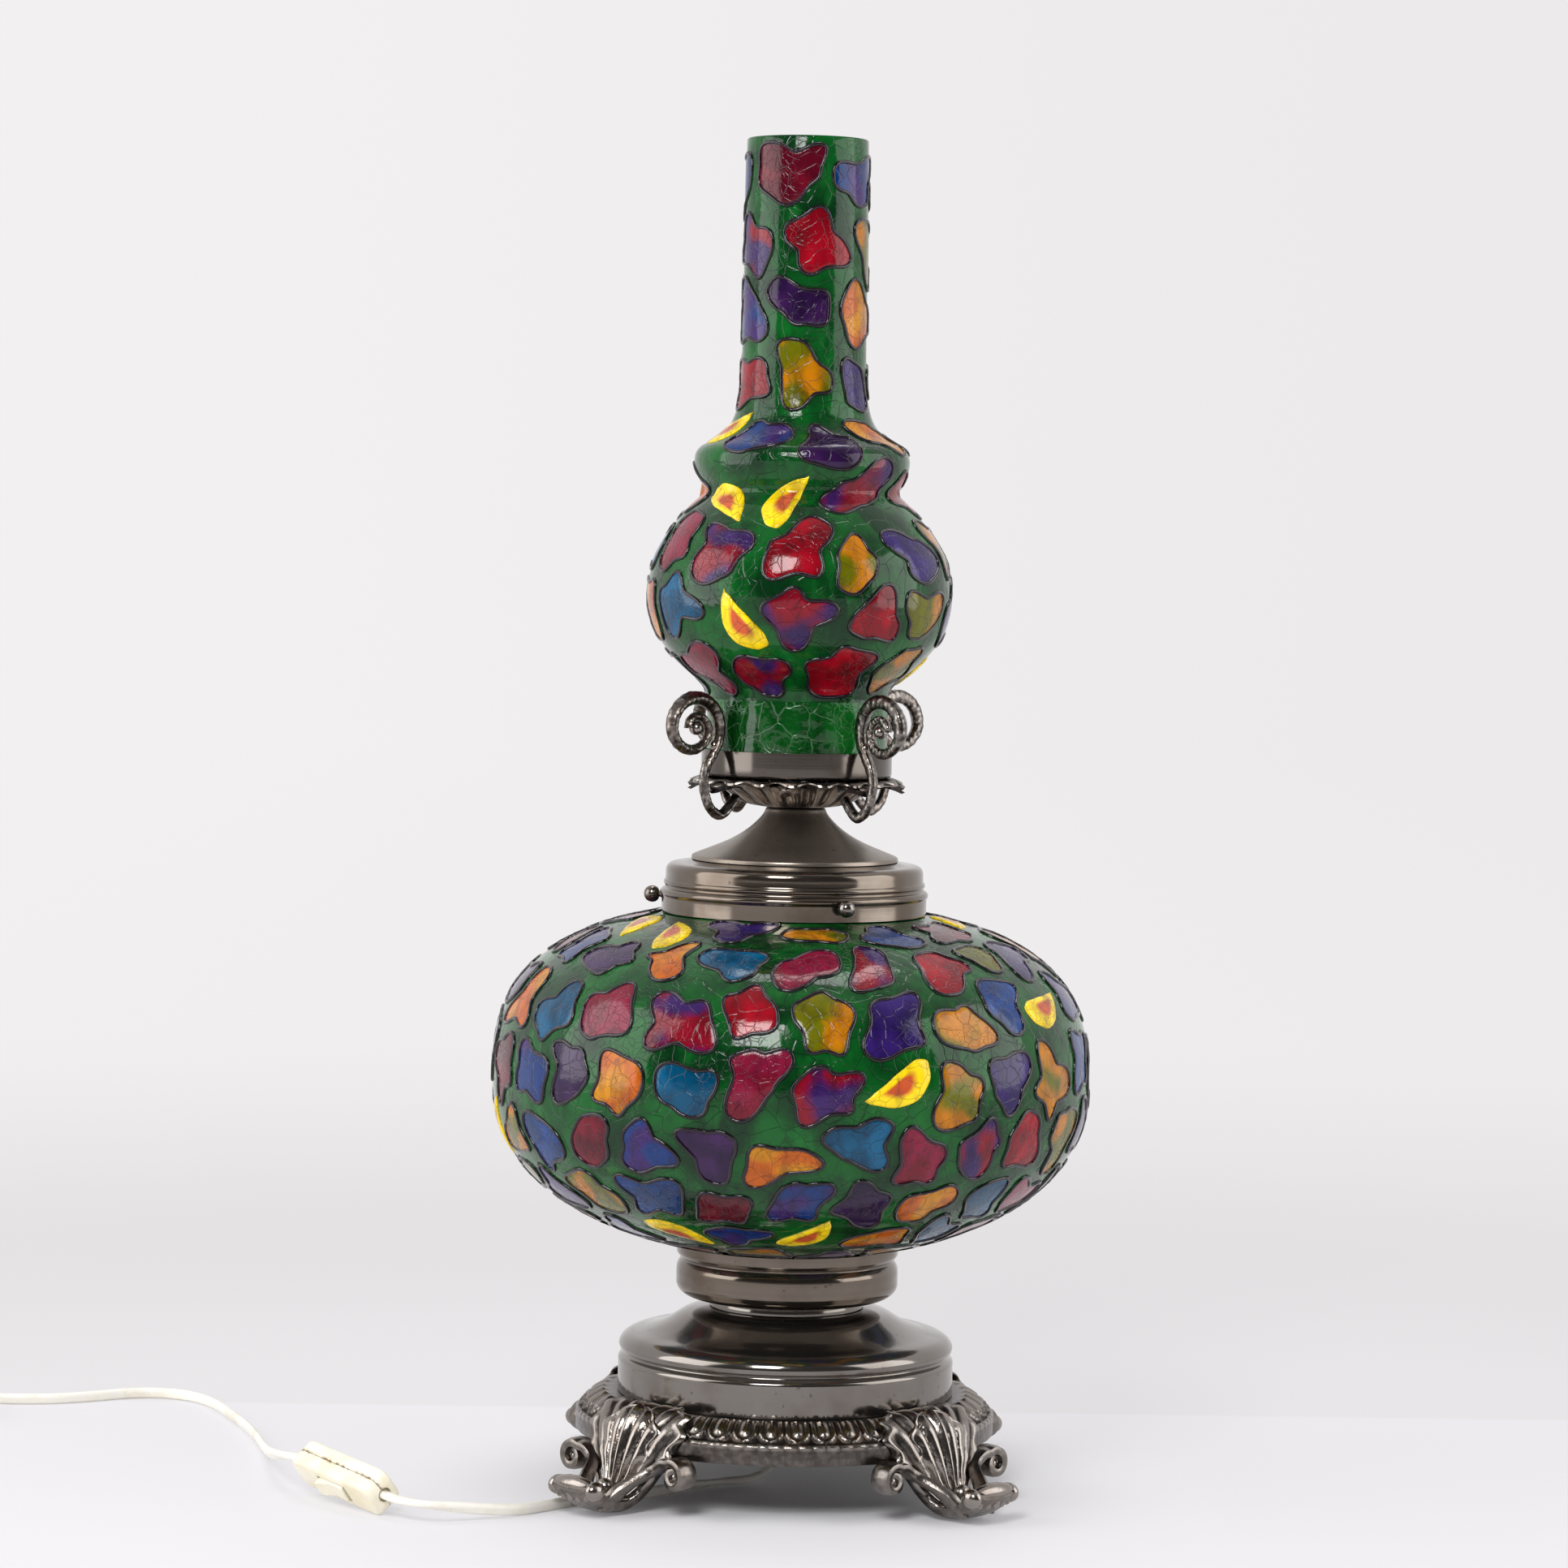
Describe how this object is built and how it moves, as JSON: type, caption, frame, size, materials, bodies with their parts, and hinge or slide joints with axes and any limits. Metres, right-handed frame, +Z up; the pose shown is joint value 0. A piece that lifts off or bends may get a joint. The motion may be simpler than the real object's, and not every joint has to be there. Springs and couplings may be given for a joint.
{
  "type": "table lamp",
  "caption": "Table lamp in oil-lamp form: painted glass globe and chimney with a bulb in each, cast scroll feet and gallery, and a flat cord with an in-line rocker switch.",
  "frame": {"origin": "on the table top under the lamp's axis, which is the centre of the lamp's box without its cord", "axes": "+Z up along the lamp's axis, -Y towards the side that the picture shows, +X to the right in it"},
  "size_m": [0.6651, 0.3454, 0.6633],
  "materials": {
    "cast_metal": "cast, black nickel plated, highlights on the ridges",
    "spun_metal": "spun, polished, black nickel plated",
    "painted_glass": "crackled green glass, hand painted in translucent colours with raised black outlines",
    "bulb_glass": "clear",
    "steel": "zinc plated",
    "brass": "satin",
    "black_plastic": "moulded, satin",
    "cream_plastic": "moulded, glossy, slightly yellowed",
    "white_vinyl": "extruded, satin"
  },
  "bodies": {
    "lamp": {"cast_base": "cast_metal", "base_cover": "spun_metal", "neck_ring": "spun_metal", "lower_cup": "spun_metal", "globe_glass": "painted_glass", "globe_fitter": "spun_metal", "cone_cover": "spun_metal", "gallery_casting": "cast_metal", "gallery_cup": "spun_metal", "central_tube": "steel", "base_washer": "steel", "base_nut": "steel", "cup_nut": "steel", "fitter_washer": "steel", "fitter_nut": "steel", "gallery_washer": "steel", "gallery_nut": "steel", "lower_holder_bracket": "steel", "lower_holder_cap": "black_plastic", "lower_holder_body": "black_plastic", "lower_holder_contact": "brass", "upper_holder_cap": "black_plastic", "upper_holder_body": "black_plastic", "upper_holder_contact": "brass", "cord_bushing": "black_plastic", "main_lead": "white_vinyl", "lower_lead": "white_vinyl", "cord_to_switch": "white_vinyl", "switch_front_shell": "cream_plastic", "switch_back_shell": "cream_plastic", "switch_screw": "steel", "cord_to_coil": "white_vinyl", "cord_coil": "white_vinyl", "coil_tie": "black_plastic", "plug_body": "white_vinyl", "plug_pin_left": "brass", "plug_pin_right": "brass"},
    "rocker": {"switch_rocker": "cream_plastic"},
    "front_screw": {"thumb_screw_front": "spun_metal"},
    "left_screw": {"thumb_screw_left": "spun_metal"},
    "back_screw": {"thumb_screw_back": "spun_metal"},
    "chimney": {"chimney_glass": "painted_glass"},
    "upper_bulb": {"upper_bulb_cap": "brass", "upper_bulb_glass": "bulb_glass"},
    "lower_bulb": {"lower_bulb_cap": "brass", "lower_bulb_glass": "bulb_glass"}
  },
  "joints": [
    {"name": "rocker_hinge", "type": "hinge", "parent": "lamp", "child": "rocker", "pos_m": [-0.21344, -0.08264, 0.01061], "axis": [-0.4275, -0.4484, 0.785], "range_deg": [-14, 0]},
    {"name": "front_screw_slide", "type": "slide", "parent": "lamp", "child": "front_screw", "axis": [0.3535, -0.9354, 0], "range_m": [0, 0.005]},
    {"name": "left_screw_slide", "type": "slide", "parent": "lamp", "child": "left_screw", "axis": [-0.9869, 0.1616, 0], "range_m": [0, 0.005]},
    {"name": "back_screw_slide", "type": "slide", "parent": "lamp", "child": "back_screw", "axis": [0.6334, 0.7738, 0], "range_m": [0, 0.005]},
    {"name": "chimney_lift", "type": "slide", "parent": "lamp", "child": "chimney", "axis": [0, 0, 1], "range_m": [0, 0.16]},
    {"name": "upper_bulb_lift", "type": "slide", "parent": "lamp", "child": "upper_bulb", "axis": [0, 0, 1], "range_m": [0, 0.028]},
    {"name": "lower_bulb_lift", "type": "slide", "parent": "lamp", "child": "lower_bulb", "axis": [0, 0, 1], "range_m": [0, 0.028]}
  ]
}
